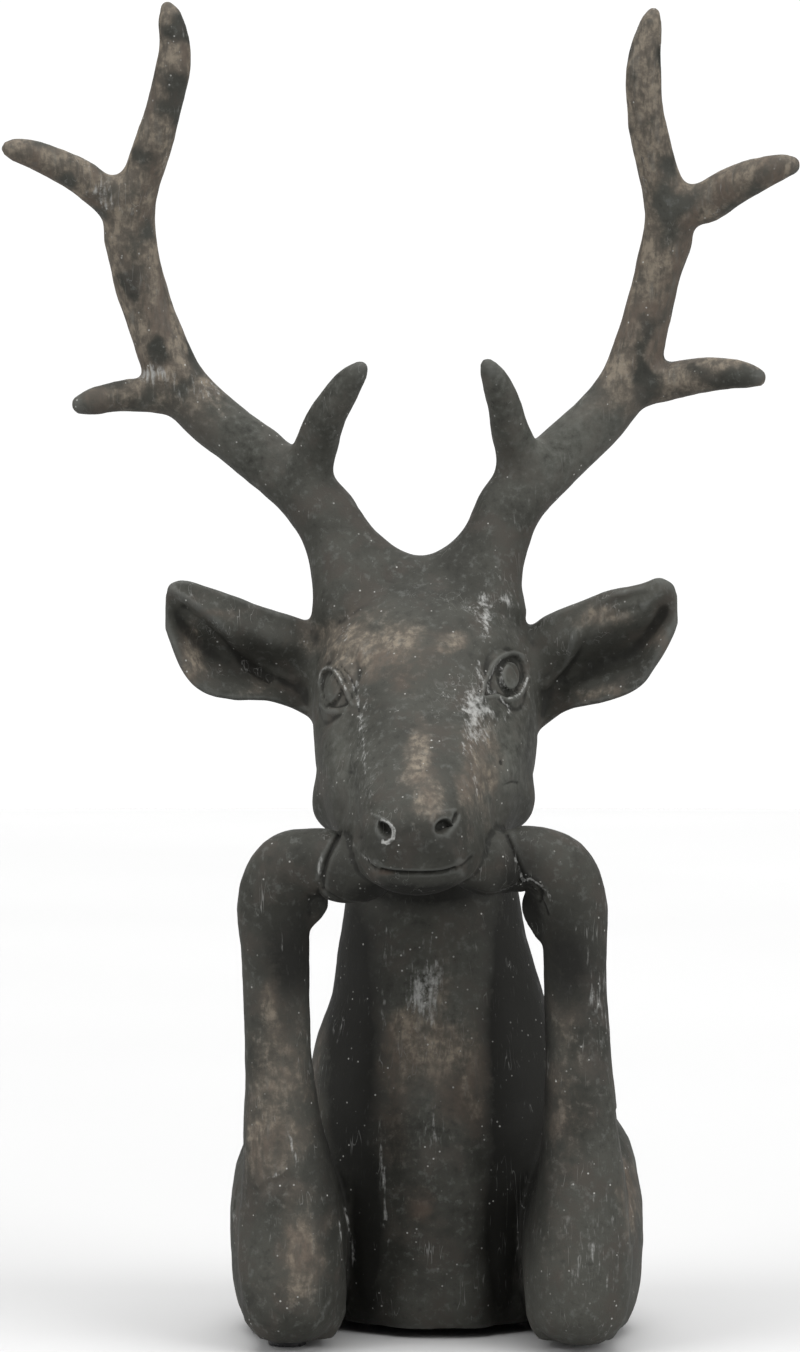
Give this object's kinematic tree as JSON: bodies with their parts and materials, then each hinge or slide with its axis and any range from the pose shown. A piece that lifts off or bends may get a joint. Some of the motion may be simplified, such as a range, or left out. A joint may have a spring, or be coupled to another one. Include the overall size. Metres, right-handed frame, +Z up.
{
  "type": "deer figurine",
  "caption": "Standing deer bust ornament, leaning on its elbows with its chin on its front hooves, with branched antlers and worn dark stone finish.",
  "frame": {"origin": "centre of the bounding box in plan, on the table plane under the foot pads", "axes": "+Z up, -Y the way the deer faces, +X to the right of someone facing it"},
  "size_m": [0.3581, 0.224, 0.5993],
  "materials": {
    "dark_cast_stone": "matte charcoal with rubbed tan and grey wear",
    "black_rubber": "matte black"
  },
  "bodies": {
    "root": {"deer": "dark_cast_stone", "foot_pad_1": "black_rubber", "foot_pad_2": "black_rubber", "foot_pad_3": "black_rubber"}
  },
  "joints": []
}
